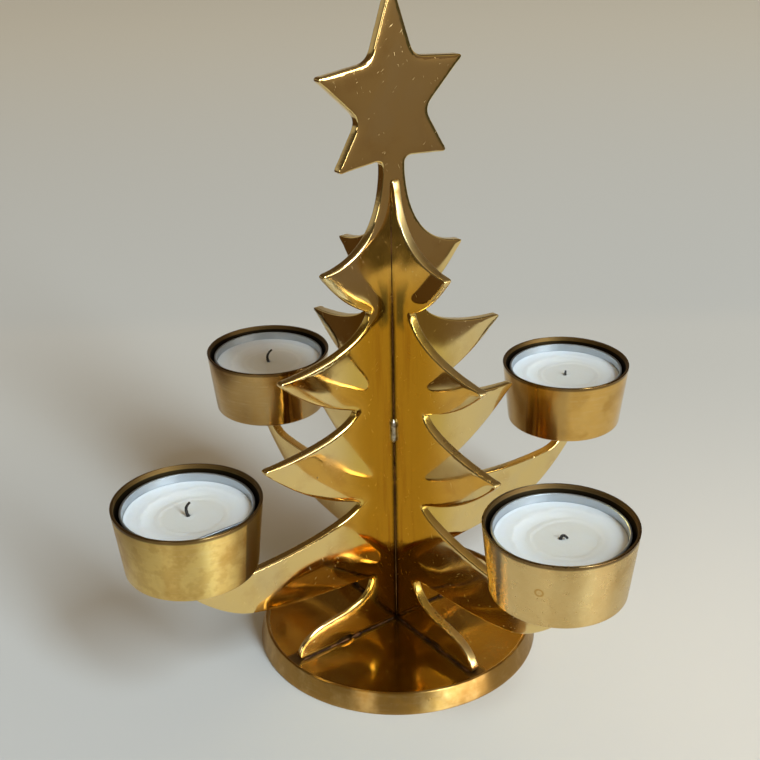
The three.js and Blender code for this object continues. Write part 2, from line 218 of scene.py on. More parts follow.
def makeBrass(name, look, centre=(0, 0, 0), flat=None):
    material, g = newMaterial(name)
    spot = g.place(centre=centre)
    x, y, z = g.split(g.place())
    wave = g.noise(spot, look["waveScale"], 1.0, 0.4, 0.3)
    cloud = g.noise(spot, 75, 4.0, 0.6)
    fine = g.noise(spot, 420, 3.0, 0.65)
    height = wave * look["waves"]
    fresh = look.get("colour", brass["colour"])
    colour = g.mix(cloud.ramp(0.48, 0.72) * look["cloudy"], fresh, brass["tarnish"])
    rough = look["rough"] + cloud.ramp(0.45, 0.75) * look["rougher"] + fine.ramp(0.5, 0.8) * 0.03

    # handling marks and small casting pits
    turns = {"y": ((0, 0.9, 0), (0, -0.35, 0)), "x": ((0.9, 0, 0), (-0.4, 0, 0))}
    turns = turns.get(flat, ((0.9, 0.6, 0.2), (-0.7, 0.9, 0.4)))
    marks = sum(lines(g, centre, turn, 2300, 8).ramp(0.70, 0.78) for turn in turns)
    pitted = g.add("ShaderNodeTexVoronoi", {"feature": "F1"}, {"Vector": spot, "Scale": 210.0})
    pits = (1 - pitted.ramp(0.05, 0.09)) * g.noise(spot, 60, 1.0).ramp(0.64, 0.66) * look["pits"]
    height = height - pits * 0.00008
    colour = g.mix(pits * 0.85, colour, brass["grime"])
    colour = g.mix(marks * look["marks"], colour, brass["pale"])
    rough = rough + marks * look["marks"]
    patch = g.noise(spot, 46, 3.0, 0.65, 0.5).ramp(0.50, 0.62) * look.get("patches", 0.0)
    colour = g.mix(patch, colour, brass["stain"])

    if flat:  # a plate: dull filed edges, tarnish that gathers at the crossing, and painted dark reflections beside the seam
        across = g.split(g.add("ShaderNodeTexCoord", output="Normal"))[1 if flat == "y" else 0]
        out = (x * x + y * y) ** 0.5
        belowStar = 1 - z.ramp(*heatTintAndPaintedReflection["belowStar"])
        film = g.noise(spot, 40, 3.0, 0.6, 0.6).ramp(0.42, 0.66)  # dull, from handling
        colour = g.mix(film * 0.35, colour, brass["film"])
        rough = rough + film * 0.06
        filed = lines(g, centre, (math.pi / 2, 0, 0) if flat == "y" else (0, math.pi / 2, 0), 2600, 25)
        onEdge = 1 - abs(across).ramp(0.35, 0.65)
        height = height + filed * onEdge * 0.00003
        rough = rough + onEdge * look["filed"]
        colour = g.mix((1 - out.ramp(*heatTintAndPaintedReflection["amberOut"])) * belowStar, colour, brass["amber"])
        streak = lines(g, centre, (0, 0, 0), 620, 18).ramp(0.50, 0.66)
        streak = streak * (1 - out.ramp(*heatTintAndPaintedReflection["streakOut"]))
        crust = (1 - out.ramp(*heatTintAndPaintedReflection["crustOut"])) * fine.ramp(0.15, 0.5)
        low = (1 - z.ramp(*heatTintAndPaintedReflection["lowest"])) * cloud.ramp(0.42, 0.6)
        stained = (streak * 0.5 + low * 0.4) * belowStar
        colour = g.mix(stained, colour, brass["stain"])
        colour = g.mix(crust * belowStar * 0.9, colour, brass["grime"])
        # painted reflection: dark patches beside the seam stand in for the dark things the plates'
        # corner mirrors
        uneven = out + (cloud - 0.5) * 0.008
        beside = out.ramp(*heatTintAndPaintedReflection["shadeOut"]) * (1 - uneven.ramp(*heatTintAndPaintedReflection["shadeReach"]))
        paintedSeamReflection = beside * z.ramp(*heatTintAndPaintedReflection["shadeFrom"]) * (1 - z.ramp(*heatTintAndPaintedReflection["shadeTo"]))
        colour = g.mix(paintedSeamReflection * 0.6, colour, brass["shade"])
        rough = rough + stained * 0.10

    if look["turned"]:
        groove = g.noise(g.place((0.02, 0.02, 1), centre), 5200, 2.0, 0.6)
        brushed = g.noise(g.place((0.04, 0.04, 1), centre), 1700, 3.0, 0.7)
        height = height + groove * 0.0000012 * look["turned"]
        scratched = brushed.ramp(0.45, 0.75) * fine.ramp(0.35, 0.65) * look["brushed"]
        colour = g.mix(scratched, colour, brass["pale"])
        mottle = g.noise(spot, 190, 3.0, 0.7).ramp(0.45, 0.62) * look.get("mottled", 0.0)
        colour = g.mix(mottle, colour, brass["stain"])
        lower = 1 - z.ramp(centre[2] - 0.0106, centre[2] - 0.0085)
        colour = g.mix(lower * 0.35, colour, brass["tarnish"])

    if "feet" in look:  # the dish: flux baked on beside the plates' feet
        fromPlates = x.math("MINIMUM", abs(x), abs(y))
        beside = 1 - fromPlates.ramp(*look["feet"])
        colour = g.mix(beside * cloud.ramp(0.2, 0.5) * 0.8, colour, brass["grime"])
        rough = rough + beside * 0.25

    if "half" in look:  # a cup: painted shade inside, and dark brown along its rim
        sideways, deep, level = g.split(spot)
        out = (sideways * sideways + deep * deep) ** 0.5
        wallOut = level * ((cup["rimRadius"] - cup["bottomRadius"]) / cup["height"]) + look["half"] * mm
        inside = (wallOut - out).ramp(0.00035, 0.0007) * level.ramp(-0.0102, -0.0097)
        rim = level.ramp(0.0092, 0.0098)
        colour = g.mix(rim * 0.92, colour, brass["brown"])
        # painted shade: the inner wall is drawn near black for the dark gap between cup and can
        colour = g.mix(inside * (1 - rim) * 0.97, colour, brass["paintedInsideShade"])
        rough = rough + inside * 0.62
        # painted reflection: the side that faces the tree is darkened for the tree's dark reflection
        towardTree = (sideways * look["inward"][0] + deep * look["inward"][1]) / out
        low, high, strength = look["treeReflectionSpan"]
        paintedTreeReflection = (towardTree + (cloud - 0.5) * 0.06).ramp(low, high) * (1 - inside) * strength
        colour = g.mix(paintedTreeReflection, colour, brass["darkTreeReflection"])
    if "ring" in look:  # the trace of a drop
        apart = g.add("ShaderNodeVectorMath", {"operation": "DISTANCE"},
                      {0: g.place(), 1: [c * mm for c in look["ring"]]}, "Value")
        edge = apart.ramp(0.0006, 0.0009) * (1 - apart.ramp(0.0012, 0.0015))
        trace = edge + (1 - apart.ramp(0.0, 0.0006)) * 0.4
        colour = g.mix(trace * 0.7, colour, brass["stain"])
    bump = g.add("ShaderNodeBump", {}, {"Height": height, "Distance": 1.0})
    g.surface({
        "Base Color": colour,
        "Metallic": 1.0,
        "Roughness": rough,
        "Anisotropic": 0.93 if look["turned"] else 0.0,
        "Anisotropic Rotation": 0.25,
        "Normal": bump,
    })
    return material


def makeSolder():
    material, g = newMaterial("tin_solder")
    spot = g.place()
    cloud = g.noise(spot, 600, 3.0)
    colour = g.mix(cloud.ramp(0.4, 0.7), (0.62, 0.58, 0.50, 1), (0.20, 0.15, 0.10, 1))
    bump = g.add("ShaderNodeBump", {}, {"Height": cloud * 0.0002, "Distance": 1.0})
    g.surface({"Base Color": colour, "Metallic": 1.0, "Roughness": 0.35, "Normal": bump})
    return material


flux = {
    "dark": (0.030, 0.014, 0.008, 1),
    "light": (0.13, 0.06, 0.025, 1),
    "lowSeam": (0.24, 0.13, 0.05, 1),  # browner where the seam nears the dish
    "lowFrom": (0.0068, 0.009),
    "lowTo": (0.030, 0.060),
}


def makeFlux():
    material, g = newMaterial("burnt_flux")
    spot = g.place()
    cloud = g.noise(spot, 260, 3.0)
    colour = g.mix(cloud.ramp(0.42, 0.60), flux["dark"], flux["light"])
    z = g.split(spot)[2]
    lowSeam = z.ramp(*flux["lowFrom"]) * (1 - z.ramp(*flux["lowTo"]))
    colour = g.mix(lowSeam * 0.75, colour, flux["lowSeam"])
    bump = g.add("ShaderNodeBump", {}, {"Height": cloud * 0.0003, "Distance": 1.0})
    g.surface({"Base Color": colour, "Roughness": 0.85, "Specular IOR Level": 0.05, "Normal": bump})
    return material


def makeFoil():
    material, g = newMaterial("foil")
    spot = g.place()
    crease = g.noise(spot, 500, 3.0, 0.6)
    bump = g.add("ShaderNodeBump", {}, {"Height": crease * 0.00012, "Distance": 1.0})
    rough = 0.34 + crease * 0.12
    g.surface({
        "Base Color": (0.50, 0.54, 0.58, 1),
        "Metallic": 1.0,
        "Roughness": rough,
        "Normal": bump,
    })
    return material


paraffin = {
    "solid": (0.73, 0.755, 0.77, 1),
    "melted": (0.66, 0.645, 0.59, 1),
    "cloudy": (0.68, 0.70, 0.71, 1),
    "ring": (0.90, 0.90, 0.88, 1),
    "poolShift": (0.0012, -0.0012),  # the pool's middle, from the wick
    "pool": (0.0085, 0.0145),
    "rings": (0.0098, 0.0150),  # where the pool set; their paler colour is a painted highlight on the ridges
    "ringHalf": 0.0014,
}


def makeWax(centre):
    material, g = newMaterial("paraffin")
    spot = g.place(centre=centre)
    shift = paraffin["poolShift"]
    x, y, z = g.split(g.place(centre=(centre[0] + shift[0], centre[1] + shift[1], 0)))
    out = (x * x + y * y) ** 0.5
    cloud = g.noise(spot, 130, 3.0, 0.6)
    around = out + (cloud - 0.5) * 0.003
    melted = 1 - around.ramp(*paraffin["pool"])
    colour = g.mix(melted * 0.75, paraffin["solid"], paraffin["melted"])
    colour = g.mix(cloud.ramp(0.45, 0.7) * 0.35, colour, paraffin["cloudy"])
    # the rings are ridges in the bump, and their paler colour is a painted highlight
    ring, edge = [1 - abs(around - r).ramp(0.0, paraffin["ringHalf"]) for r in paraffin["rings"]]
    colour = g.mix(ring * 0.16 + edge * 0.14, colour, paraffin["ring"])
    fine = g.noise(spot, 900, 2.0, 0.6)
    height = cloud * 0.00022 + fine * 0.00003 + ring * 0.00010 + edge * 0.00008
    bump = g.add("ShaderNodeBump", {}, {"Height": height, "Distance": 1.0})
    g.surface({
        "Base Color": colour,
        "Roughness": 0.42 - melted * 0.12,
        "Subsurface Weight": 0.35,
        "Subsurface Radius": (0.006, 0.005, 0.004),
        "Subsurface Scale": 1.0,
        "Normal": bump,
    })
    return material


def makeCotton():
    material, g = newMaterial("burnt_cotton")
    strand = g.noise(g.place((1, 1, 0.3)), 2500, 2.0)
    colour = g.mix(strand.ramp(0.4, 0.7), (0.012, 0.011, 0.010, 1), (0.06, 0.05, 0.045, 1))
    bump = g.add("ShaderNodeBump", {}, {"Height": strand * 0.0003, "Distance": 1.0})
    g.surface({"Base Color": colour, "Roughness": 0.85, "Normal": bump})
    return material


# Mesh helpers


def makePiece(name, mesh, material, body, slot, *nodes):
    piece = bpy.data.objects.new(name, mesh)
    scene.collection.objects.link(piece)
    mesh.materials.clear()
    mesh.materials.append(material)
    mesh.shade_smooth()
    mesh.set_sharp_from_angle(angle=math.radians(38))
    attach(piece, body)
    if nodes:
        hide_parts(*nodes)
    return piece


def meshFrom(name, points, faces):
    mesh = bpy.data.meshes.new(name)
    mesh.from_pydata([tuple(p) for p in points], [], faces)
    tidy = bmesh.new()
    tidy.from_mesh(mesh)
    bmesh.ops.remove_doubles(tidy, verts=tidy.verts, dist=1e-7)
    bmesh.ops.recalc_face_normals(tidy, faces=tidy.faces)
    tidy.to_mesh(mesh)
    tidy.free()
    return mesh


def grownMesh(name, points, edges, tree, sockets, values):  # a plain mesh from points, edges and a tree
    outline = bpy.data.meshes.new(name)
    outline.from_pydata([tuple(p) for p in points], edges, [])
    blank = bpy.data.objects.new(name, outline)
    scene.collection.objects.link(blank)
    grow = blank.modifiers.new(name, "NODES")
    grow.node_group = tree
    for label, value in values.items():
        grow[sockets[label]] = value
    depsgraph = bpy.context.evaluated_depsgraph_get()
    mesh = bpy.data.meshes.new_from_object(blank.evaluated_get(depsgraph), depsgraph=depsgraph)
    bpy.data.objects.remove(blank)
    tidy = bmesh.new()
    tidy.from_mesh(mesh)
    bmesh.ops.remove_doubles(tidy, verts=tidy.verts, dist=1e-6)
    bmesh.ops.recalc_face_normals(tidy, faces=tidy.faces)
    tidy.to_mesh(mesh)
    tidy.free()
    return mesh


# Plates

tree = {
    "trunkHeight": 154.0,
    "tipBlunt": 0.9,
    "notchBlunt": 0.8,
    "branches": [  # reach, tip height, notch out, notch drop, sweep
        (26.0, 127.8, 9.8, 14.8, 0.30),
        (42.2, 98.5, 15.8, 16.5, 0.42),
        (49.2, 71.9, 14.8, 22.7, 0.48),
    ],
    "armWaistInset": 8.7,
    "armWaistHeight": 40.4,
    "armBellyInset": 19.7,
    "armBellyHeight": 24.6,
    "armEndLift": 10.0,
    "armEndInside": 1.0,
    "armEndWidth": 10.2,
    "armNotch": (11.2, 19.0),
    "footReach": 40.5,
    "footShoulder": (25.0, 9.6),
    "footRelief": (19.5, 7.0, 1.2),  # out, width, height
    "crossTopDrop": 2.0,
    "crossTopWall": 0.9,
    "slotHeight": 76.0,
    "slotClearance": 0.2,
}

star = {
    "neckHalf": 4.0,
    "neckLength": 2.8,
    "crotch": 1.4,
    "tipBlunt": 1.7,
    "rays": [(0, 30.5), (70, 27.4), (132.5, 26.9)],  # turn from straight up, length
    "waists": [(33.5, 13.6), (110, 12.2)],
    "waistRound": 3.4,
    "crotchRound": 1.5,
}

polish = {
    "spacing": 0.4,  # between outline points
    "cornerBlur": 0.42,
    "edgeRadius": 0.5,
    "edgeSteps": 5,
    "up": (0.12, 2.0),  # how far the faces are buffed down at upward edges, and how far inward
    "down": (0.90, 12.0),
    "star": (0.24, 4.0),
    "foot": (0.02, 1.5),
    "toe": (1.05, 11.0),
    "starBlend": 12.0,  # the star's buffing fades in over this height, under the neck
    "toeLevels": (19.5, 3.0),  # top of the toes' buffing, and the height that it fades over
    "footLevels": (8.0, 6.0),
    "grid": 0.75,
}
flatter = {"up": (0.05, 1.6), "toe": (0.15, 3.0)}  # the cross plate kept more of its sawn edges

starBox = boxOf("star_plate")
plateStand = starBox[0][2]
plateThickness = starBox[1][1] - starBox[0][1]
cupBoxes = {place: boxOf("cup_" + place) for place in arms}
cupOut = (cupBoxes["back_right"][0][0] + cupBoxes["back_right"][1][0]) / 2


def bendTo(path, x, y, first, second, steps=24):
    x0, y0 = path[-1]
    ends = np.array([[x0, y0], [x, y]])
    spans = ends[1] - ends[0]
    knots = [ends[0], ends[0] + spans * first, ends[0] + spans * second, ends[1]]
    for t in np.linspace(0, 1, steps + 1)[1:]:
        weights = [(1 - t) ** 3, 3 * t * (1 - t) ** 2, 3 * t * t * (1 - t), t ** 3]
        path.append(tuple(sum(w * k for w, k in zip(weights, knots))))


def addNotch(path, out, height, first, second):
    blunt = tree["notchBlunt"]
    bendTo(path, out + blunt, height + blunt / 3, first, second)
    path += [(out, height), (out, height - blunt)]


def addBranch(path, reach, tipHeight, notchOut, notchDrop, sweep):
    blunt = tree["tipBlunt"]
    bendTo(path, reach - blunt, tipHeight + blunt / 2, (0.05, 0.52), (sweep, 0.92))
    path += [(reach, tipHeight), (reach - blunt / 2, tipHeight - blunt)]
    addNotch(path, notchOut, tipHeight - notchDrop, (0.3, 0.46), (0.58, 0.78))


def addArmAndFoot(path):
    inner = cupOut - tree["armEndInside"]
    outer = inner + tree["armEndWidth"]
    waist = tree["armWaistHeight"]
    end = waist + tree["armEndLift"]
    bendTo(path, cupOut - tree["armWaistInset"], waist, (0.05, 0.5), (0.5, 1.17))
    bendTo(path, inner, end, (0.7, 0.06), (1, 0.26))
    path.append((outer, end))
    bendTo(path, cupOut - tree["armBellyInset"], tree["armBellyHeight"], (0.14, 0.37), (0.65, 0.92))
    addNotch(path, *tree["armNotch"], (0.34, 0.78), (0.75, 0.75))
    bendTo(path, *tree["footShoulder"], (0.06, 0.62), (0.42, 0.92))
    blunt, reach = tree["tipBlunt"], tree["footReach"]
    bendTo(path, reach, blunt, (0.55, 0.1), (0.92, 0.37))
    out, width, height = tree["footRelief"]
    path += [(reach - blunt / 2, 0), (out + width, 0)]
    bendTo(path, out + width / 4, height, (0.3, 1), (0.6, 1))
    path.append((out, 0))


def easeCorners(corners, steps=5):  # a corner with a third value is rounded off by that much
    path = []
    for index, corner in enumerate(corners):
        point = np.array(corner[:2], float)
        if len(corner) < 3:
            path.append(tuple(point))
            continue
        sides = [np.array(corners[index + k][:2], float) - point for k in (-1, 1)]
        before, after = [point + side / np.linalg.norm(side) * corner[2] for side in sides]
        for t in np.linspace(0, 1, steps + 1):
            path.append(tuple(before * (1 - t) ** 2 + point * 2 * t * (1 - t) + after * t * t))
    return path


def starHalf():
    def at(turn, length, centre):
        angle = math.radians(turn)
        return math.sin(angle) * length, centre + math.cos(angle) * length

    lowest = tree["trunkHeight"] + star["neckLength"]
    centre = lowest - at(*star["rays"][2], 0)[1]
    top, side, low = [at(turn, length, centre) for turn, length in star["rays"]]
    high, waist = [at(turn, length, centre) for turn, length in star["waists"]]
    neck, blunt, notch = star["neckHalf"], star["tipBlunt"], tree["notchBlunt"]
    return easeCorners([
        (blunt / 2, top[1]),
        (*high, star["waistRound"]),
        (*side, blunt),
        (*waist, star["waistRound"]),
        (*low, blunt),
        (neck + notch, lowest + star["crotch"], star["crotchRound"]),
        (neck, lowest),
        (neck, tree["trunkHeight"]),
    ])


def crossHalf():
    half, top = plateThickness / 2 + tree["slotClearance"], tree["trunkHeight"] - tree["crossTopDrop"]
    return [(half + 0.3, top), (half + tree["crossTopWall"], top - 2.5)]


def evenly(loop, spacing):  # points at even steps round a closed loop
    closed = np.vstack([loop, loop[:1]])
    along = np.concatenate([[0], np.cumsum(np.linalg.norm(np.diff(closed, axis=0), axis=1))])
    count = int(along[-1] / spacing)
    stops = np.linspace(0, along[-1], count, endpoint=False)
    return np.stack([np.interp(stops, along, closed[:, k]) for k in (0, 1)], 1)


def blurRound(values, width):  # a blur that runs round the loop
    reach = int(width * 4) + 1
    weights = np.exp(-0.5 * (np.arange(-reach, reach + 1) / width) ** 2)
    weights /= weights.sum()
    return sum(w * np.roll(values, k, axis=0) for w, k in zip(weights, range(-reach, reach + 1)))


def plateOutline(startHalf):
    right = startHalf()
    for branch in tree["branches"]:
        addBranch(right, *branch)
    addArmAndFoot(right)
    left = [(-x, y) for x, y in reversed(right)]
    loop = evenly(np.array(right + left), polish["spacing"])
    return blurRound(loop, polish["cornerBlur"] / polish["spacing"])


def outwardNormals(loop):
    along = np.roll(loop, -1, axis=0) - np.roll(loop, 1, axis=0)
    along /= np.linalg.norm(along, axis=1)[:, None]
    return np.stack([-along[:, 1], along[:, 0]], 1)


def edgeRadii(loop):  # smaller round sharp tips, so that the rings inside them don't cross
    step = np.roll(loop, -1, axis=0) - loop
    turn = np.arctan2(step[:, 1], step[:, 0])
    bend = (np.roll(turn, 1) - turn + np.pi) % (2 * np.pi) - np.pi
    tight = np.maximum(bend, 1e-6) / np.linalg.norm(step, axis=1)
    radii = np.minimum(polish["edgeRadius"], 0.6 / tight)
    nearest = np.min([np.roll(radii, k) for k in range(-5, 6)], axis=0)
    return blurRound(nearest, 2)


def away(loop, points):  # distance from each point to each point of the outline
    return np.sqrt(((points[:, None] - loop[None]) ** 2).sum(2))


def inParts(work, points):
    return np.concatenate([work(part) for part in np.array_split(points, len(points) // 400 + 1)])


def buffedDown(loop, points, polish):
    level, facing = loop[:, 1:], outwardNormals(loop)[:, 1:]
    blend = polish["starBlend"]

    def under(key):
        top, fade = polish[key]
        return np.clip((top - level) / fade, 0, 1)

    shares = [  # each way of buffing, and where it takes over from the ones before
        ("up", 1),
        ("down", ((1 - facing) / 2) ** 1.5),
        ("star", np.clip((level - tree["trunkHeight"] + blend) / blend, 0, 1)),
        ("toe", under("toeLevels") * np.clip(facing * 4, 0, 1)),
        ("foot", under("footLevels") * np.clip(-facing * 4, 0, 1)),
    ]
    buffed = 0
    for key, share in shares:
        buffed = buffed * (1 - share) + np.array([polish[key]]) * share
    depth, reach = blurRound(buffed, 6).T

    def deepest(part):
        return (depth * np.clip(1 - away(loop, part) / reach, 0, 1) ** 3).max(1)

    return inParts(deepest, points)


def insideGrid(loop, margin):
    low, high = loop.min(0), loop.max(0)
    step = polish["grid"]
    rows = np.arange(low[1], high[1], step * 0.866)
    grid = [
        (x + (step / 2 if row % 2 else 0), y)
        for row, y in enumerate(rows)
        for x in np.arange(low[0], high[0], step)
    ]
    grid = np.array(grid)
    ends = np.roll(loop, -1, axis=0)
    inside = np.zeros(len(grid), bool)
    for (x0, y0), (x1, y1) in zip(loop, ends):
        if y0 == y1:
            continue
        crosses = (grid[:, 1] > min(y0, y1)) & (grid[:, 1] <= max(y0, y1))
        inside ^= crosses & (grid[:, 0] < x0 + (grid[:, 1] - y0) * (x1 - x0) / (y1 - y0))
    grid = grid[inside]
    return grid[inParts(lambda part: away(loop, part).min(1), grid) > margin]


def plateMesh(name, loop, polish):
    count = len(loop)
    outward, radii = outwardNormals(loop), edgeRadii(loop)

    def height(points):
        return plateThickness / 2 - buffedDown(loop, points, polish)

    rings = []
    for k in range(polish["edgeSteps"] + 1):
        angle = math.pi / 2 * k / polish["edgeSteps"]
        ring = loop - outward * (radii * (1 - math.cos(angle)))[:, None]
        rings.append((ring, height(ring) - radii * (1 - math.sin(angle))))
    margin = polish["edgeRadius"] + polish["grid"] * 0.55
    grid = insideGrid(loop, margin)
    gridLevel = height(grid)
    flat = [Vector(p) for p in np.vstack([rings[-1][0], grid])]
    corners, _, triangles, origins, _, _ = delaunay_2d_cdt(flat, [], [list(range(count))], 1, 1e-6)
    lookup = [origin[0] for origin in origins]
    triangles = [[lookup[v] for v in triangle] for triangle in triangles]

    points, faces = [], []
    for side in (-1, 1):
        for ring, level in rings:
            points += [(x, side * h, y) for (x, y), h in zip(ring, level)]
        points += [(x, side * h, y) for (x, y), h in zip(grid, gridLevel)]
    half = count * len(rings) + len(grid)
    top = count * (len(rings) - 1)
    for start in (0, half):
        for k in range(len(rings) - 1):
            a, b = start + k * count, start + (k + 1) * count
            faces += [(a + i, a + (i + 1) % count, b + (i + 1) % count, b + i) for i in range(count)]
        faces += [tuple(start + top + v for v in triangle) for triangle in triangles]
    faces += [(i, (i + 1) % count, half + (i + 1) % count, half + i) for i in range(count)]
    placed = np.array(points) * mm + [0, 0, plateStand * mm]
    return meshFrom(name, placed, faces)


def cutSlot(mesh, low, high):
    width = (plateThickness + 2 * tree["slotClearance"]) * mm
    box = bpy.data.meshes.new("slot")
    cutter = bmesh.new()
    bmesh.ops.create_cube(cutter, size=1)
    size = Vector((width, plateThickness * 2 * mm, (high - low) * mm))
    bmesh.ops.scale(cutter, vec=size, verts=cutter.verts)
    middle = Vector((0, 0, (plateStand + (low + high) / 2) * mm))
    bmesh.ops.translate(cutter, vec=middle, verts=cutter.verts)
    cutter.to_mesh(box)
    cutter.free()
    blank = bpy.data.objects.new("blank", mesh)
    knife = bpy.data.objects.new("knife", box)
    scene.collection.objects.link(blank)
    scene.collection.objects.link(knife)
    cut = blank.modifiers.new("slot", "BOOLEAN")
    cut.operation, cut.solver, cut.object = "DIFFERENCE", "MANIFOLD", knife
    depsgraph = bpy.context.evaluated_depsgraph_get()
    result = bpy.data.meshes.new_from_object(blank.evaluated_get(depsgraph), depsgraph=depsgraph)
    bpy.data.objects.remove(blank)
    bpy.data.objects.remove(knife)
    return result


plateLook = {"rough": 0.04, "rougher": 0.08, "waves": 0.00022, "waveScale": 44, "cloudy": 0.6,
             "marks": 0.30, "pits": 1.0, "turned": 0, "filed": 0.10}


def makePlates():
    middle = (0, 0, 0.09)
    starMesh = plateMesh("polished_star_plate", plateOutline(starHalf), polish)
    starMesh = cutSlot(starMesh, -2, tree["slotHeight"])
    finish = makeBrass("star_plate_brass", plateLook, middle, "y")
    makePiece("polished_star_plate", starMesh, finish, "holder", "brass_polished", "star_plate")
    crossMesh = plateMesh("polished_cross_plate", plateOutline(crossHalf), {**polish, **flatter})
    crossMesh = cutSlot(crossMesh, tree["slotHeight"], tree["trunkHeight"] + 2)
    crossMesh.transform(Matrix.Rotation(math.pi / 2, 4, "Z"))
    finish = makeBrass("cross_plate_brass", {**plateLook, "filed": 0.22}, middle, "x")
    makePiece("polished_cross_plate", crossMesh, finish, "holder", "brass_polished", "cross_plate")


# Turned pieces, by one Geometry Nodes tree that spins a profile


def makeTurningTree():
    group = bpy.data.node_groups.new("turning", "GeometryNodeTree")
    sockets = {}
    for label, kind in [
        ("Profile", "NodeSocketGeometry"),
        ("Sides", "NodeSocketInt"),
        ("Ring Radius", "NodeSocketFloat"),
        ("Finish", "NodeSocketMaterial"),
    ]:
        socket = group.interface.new_socket(label, in_out="INPUT", socket_type=kind)
        sockets[label] = socket.identifier
    group.interface.new_socket("Geometry", in_out="OUTPUT", socket_type="NodeSocketGeometry")
    g = Graph(group)
    given = group.nodes.new("NodeGroupInput")
    wires = {label: Wire(g, given.outputs[label]) for label in sockets}
    circle = {"Resolution": wires["Sides"], "Radius": wires["Ring Radius"]}
    ring = g.add("GeometryNodeCurvePrimitiveCircle", {}, circle)
    profile = g.add("GeometryNodeMeshToCurve", {}, {"Mesh": wires["Profile"]})
    swept = g.add("GeometryNodeCurveToMesh", {}, {"Curve": ring, "Profile Curve": profile})
    merged = g.add("GeometryNodeMergeByDistance", {}, {"Geometry": swept, "Distance": 2e-6})
    real = g.add("GeometryNodeRealizeInstances", {}, {"Geometry": merged})
    dressed = g.add("GeometryNodeSetMaterial", {}, {"Geometry": real, "Material": wires["Finish"]})
    g.add("NodeGroupOutput", {}, {"Geometry": dressed})
    return group, sockets


turning, turningSockets = makeTurningTree()


def turnedMesh(name, profile, sides, finish):
    ring = 10 * mm
    points = [(r * mm - ring, -z * mm, 0) for r, z in profile]
    edges = [(i, i + 1) for i in range(len(points) - 1)]
    values = {"Sides": sides, "Ring Radius": ring, "Finish": finish}
    return grownMesh(name, points, edges, turning, turningSockets, values)


def movedTo(mesh, place, lift):  # from the axis to an arm's end
    turn = math.radians(arms[place])
    shift = Vector((math.cos(turn) * cupOut * mm, math.sin(turn) * cupOut * mm, lift * mm))
    for vertex in mesh.vertices:
        vertex.co += shift
    return mesh


dishLook = {"rough": 0.12, "rougher": 0.10, "waves": 0.00010, "waveScale": 60, "cloudy": 0.8,
            "marks": 0.15, "pits": 0.0, "turned": 0, "patches": 0.35, "colour": (0.70, 0.44, 0.11, 1),
            "feet": (0.0022, 0.0040)}
rimLook = {"rough": 0.29, "rougher": 0.08, "waves": 0.00004, "waveScale": 90, "cloudy": 0.9,
           "marks": 0.1, "pits": 0.3, "turned": 1, "brushed": 0.08, "patches": 0.5,
           "colour": (0.38, 0.21, 0.055, 1)}
dish = {"footRadius": 46.4, "rimRadius": 44.6, "rimWidth": 0.9, "height": 7.0, "floor": 5.2}


def makeDish(finish, rimFinish):
    rim, inner = dish["rimRadius"], dish["rimRadius"] - dish["rimWidth"]
    profile = easeCorners([
        (0, 0),
        (dish["footRadius"], 0, 0.6),
        (dish["footRadius"] - 0.35, 1.6),
        (rim, dish["height"], 0.3),
        (inner, dish["height"], 0.25),
        (inner - 0.15, dish["floor"], 0.5),
        (inner - 4, dish["floor"] - 0.12),
        (0, dish["floor"] - 0.15),
    ])
    mesh = turnedMesh("turned_dish", profile, 180, finish)
    piece = makePiece("turned_dish", mesh, finish, "holder", "brass_polished", "base_dish")
    mesh.materials.append(rimFinish)
    for face in mesh.polygons:
        if face.center.to_2d().length > (dish["rimRadius"] - dish["rimWidth"] - 0.1) * mm:
            face.material_index = 1


cupLook = {"rougher": 0.05, "waves": 0.00006, "waveScale": 90, "cloudy": 0.6, "marks": 0.03,
           "pits": 0.0, "turned": 1, "brushed": 0.25, "patches": 0.2, "mottled": 0.10,
           "half": 20.575}
cupLooks = {  # the painted dark reflection of the tree: from how far towards the tree, to where it is full, and how strong
    "front_left": {"rough": 0.28, "mottled": 0.35, "cloudy": 0.5, "patches": 0.5, "brushed": 0.22,
                   "inward": (1, 0), "treeReflectionSpan": (0.33, 0.37, 0.85), "colour": (0.83, 0.59, 0.195, 1)},
    "front_right": {"rough": 0.26, "brushed": 0.12, "inward": (0, 1), "treeReflectionSpan": (-0.06, 0.08, 0.93),
                    "ring": (-17.8, -85.3, 67.9), "colour": (0.82, 0.58, 0.25, 1)},
    "back_right": {"rough": 0.15, "waves": 0.00016, "patches": 0.6, "inward": (-1, 0),
                   "treeReflectionSpan": (0.60, 0.72, 0.35), "colour": (0.78, 0.47, 0.13, 1)},
    # the back-left cup's brass colour is drawn darker: painted shade, for the tree's shadow over it
    "back_left": {"rough": 0.16, "patches": 0.3, "cloudy": 0.9, "inward": (0, -1),
                  "treeReflectionSpan": (0.80, 0.90, 0.15), "colour": (0.50, 0.32, 0.125, 1)},
}
cup = {
    "rimRadius": 21.75,
    "bottomRadius": 19.4,
    "wall": 0.9,
    "bottom": 1.2,
    "height": 21.2,
}


def makeCup(place, finish):
    profile = easeCorners([
        (0, 0),
        (cup["bottomRadius"], 0, 0.7),
        (cup["rimRadius"], cup["height"], 0.22),
        (cup["rimRadius"] - cup["wall"], cup["height"], 0.22),
        (cup["bottomRadius"] - cup["wall"] + 0.1, cup["bottom"], 0.6),
        (0, cup["bottom"]),
    ])
    name = "turned_cup_" + place
    mesh = movedTo(turnedMesh(name, profile, 128, finish), place, cupBoxes[place][0][2])
    makePiece(name, mesh, finish, "holder", "brass_satin", "cup_" + place)


